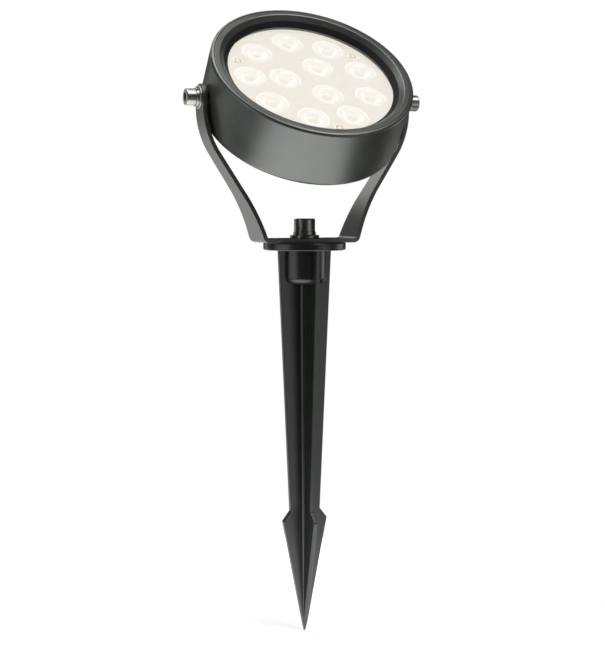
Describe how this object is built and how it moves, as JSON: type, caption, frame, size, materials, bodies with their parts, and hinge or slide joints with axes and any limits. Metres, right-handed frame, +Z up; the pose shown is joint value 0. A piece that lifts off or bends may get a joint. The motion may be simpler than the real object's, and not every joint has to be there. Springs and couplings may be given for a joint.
{
  "type": "garden spike spotlight",
  "caption": "Round LED spotlight that tilts in a bent bracket and turns on a barbed ground spike, with lens array, glass front and cable gland.",
  "frame": {"origin": "on the spike's axis, at the underside of its flange, which lies on the ground", "axes": "+Z up along the spike, X along the tilt axis, and the head faces -Y and up"},
  "size_m": [0.1508, 0.1173, 0.3889],
  "materials": {
    "spike_plastic": "moulded, glossy greenish black",
    "brass": "turned",
    "stainless": "bright stainless steel",
    "coated_steel": "fine-textured graphite powder coat on steel strap",
    "coated_aluminium": "fine-textured graphite powder coat on die-cast aluminium",
    "black_rubber": "matt silicone rubber",
    "front_glass": "clear toughened glass",
    "lens_acrylic": "clear moulded acrylic",
    "led": "lit warm white",
    "white_board": "white solder mask on an aluminium board",
    "grey_pad": "soft grey silicone sheet",
    "bare_aluminium": "bare, rolled",
    "green_board": "green solder mask",
    "black_parts": "moulded",
    "terminal_nylon": "natural nylon",
    "lead_sleeve": "smooth sleeve",
    "gland_nylon": "black moulded nylon"
  },
  "bodies": {
    "base": {"spike": "spike_plastic", "spike_insert": "brass", "base_flat_washer": "stainless", "base_spring_washer": "stainless", "base_bolt": "stainless"},
    "yoke": {"yoke_bracket": "coated_steel"},
    "head": {"lamp_housing": "coated_aluminium", "retaining_ring": "coated_aluminium", "glass_gasket": "black_rubber", "glass_cover": "front_glass", "lens_plate": "lens_acrylic", "led_emitters": "led", "led_board": "white_board", "thermal_pad": "grey_pad", "heat_spreader": "bare_aluminium", "board_screws": "stainless", "driver_board": "green_board", "driver_choke": "black_parts", "driver_capacitors": "bare_aluminium", "driver_chip": "black_parts", "driver_screws": "stainless", "terminal_block": "terminal_nylon", "link_leads": "lead_sleeve", "board_leads": "lead_sleeve", "gland_body": "gland_nylon", "gland_o_ring": "black_rubber", "gland_seal": "black_rubber", "gland_nut": "gland_nylon", "pivot_screw_left": "stainless", "pivot_spring_washer_left": "stainless", "pivot_flat_washer_left": "stainless", "pivot_spacer_left": "gland_nylon", "pivot_screw_right": "stainless", "pivot_spring_washer_right": "stainless", "pivot_flat_washer_right": "stainless", "pivot_spacer_right": "gland_nylon"}
  },
  "joints": [
    {"name": "pan", "type": "hinge", "parent": "base", "child": "yoke", "pos_m": [0, 0, 0.0046], "axis": [0, 0, 1], "range_deg": [-180, 180]},
    {"name": "tilt", "type": "hinge", "parent": "yoke", "child": "head", "pos_m": [0, 0, 0.091], "axis": [1, 0, 0], "range_deg": [-140, 58]}
  ]
}
